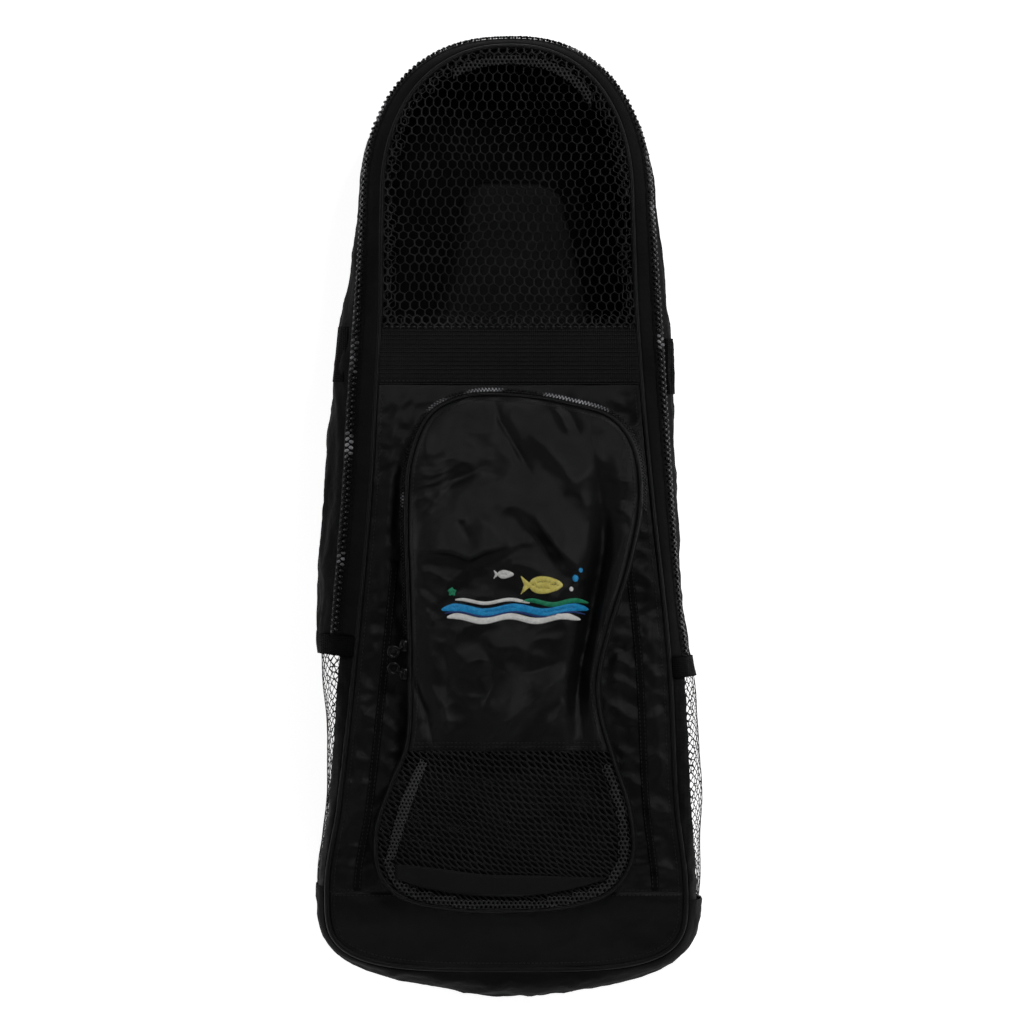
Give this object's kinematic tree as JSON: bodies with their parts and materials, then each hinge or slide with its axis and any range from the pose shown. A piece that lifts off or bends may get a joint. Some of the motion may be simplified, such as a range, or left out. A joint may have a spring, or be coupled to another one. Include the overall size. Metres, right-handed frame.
{
  "type": "mesh dive gear bag",
  "caption": "Soft backpack of black mesh and nylon for diving gear, with a zipped gusset, a front pocket and padded shoulder straps, lying on its back.",
  "frame": {"origin": "on the floor, in the middle of the bag's footprint as it lies on its back", "axes": "+Z out of the front panel, up from the floor; +Y towards the arched top of the bag; +X to the right of someone who looks at the front panel"},
  "size_m": [0.2906, 0.7262, 0.1253],
  "materials": {
    "nylon": "crinkled coated nylon with a soft sheen",
    "net": "open hexagonal mesh, matt",
    "webbing": "ribbed webbing and woven tape",
    "piping": "nylon-covered cord",
    "zip_coil": "coiled zip teeth with bright glints",
    "zip_metal": "black painted zip slider and pull",
    "buckle": "moulded",
    "padding": "foam-backed nylon"
  },
  "bodies": {
    "root": {"front_mesh_window": "net", "front_band": "webbing", "front_panel": "nylon", "front_base": "nylon", "front_piping": "piping", "seam_strip_left": "nylon", "seam_strip_right": "nylon", "gusset": "nylon", "zip_tape": "webbing", "zip_chain": "zip_coil", "side_hem_left": "webbing", "side_mesh_left": "net", "side_band_left": "webbing", "side_hem_right": "webbing", "side_mesh_right": "net", "side_band_right": "webbing", "base_gusset": "nylon", "back_panel": "padding", "back_piping": "piping", "back_pad": "padding", "pocket_front": "nylon", "pocket_mesh": "net", "pocket_piping": "piping", "pocket_wall": "nylon", "pocket_zip_chain": "zip_coil", "pocket_slider_1": "zip_metal", "pocket_pull_1": "zip_metal", "pocket_slider_2": "zip_metal", "pocket_pull_2": "zip_metal", "pocket_strip": "nylon", "strap_pad_left": "padding", "strap_webbing_left": "webbing", "strap_adjuster_left": "buckle", "strap_pad_right": "padding", "strap_webbing_right": "webbing", "strap_adjuster_right": "buckle", "haul_loop": "webbing"}
  },
  "joints": []
}
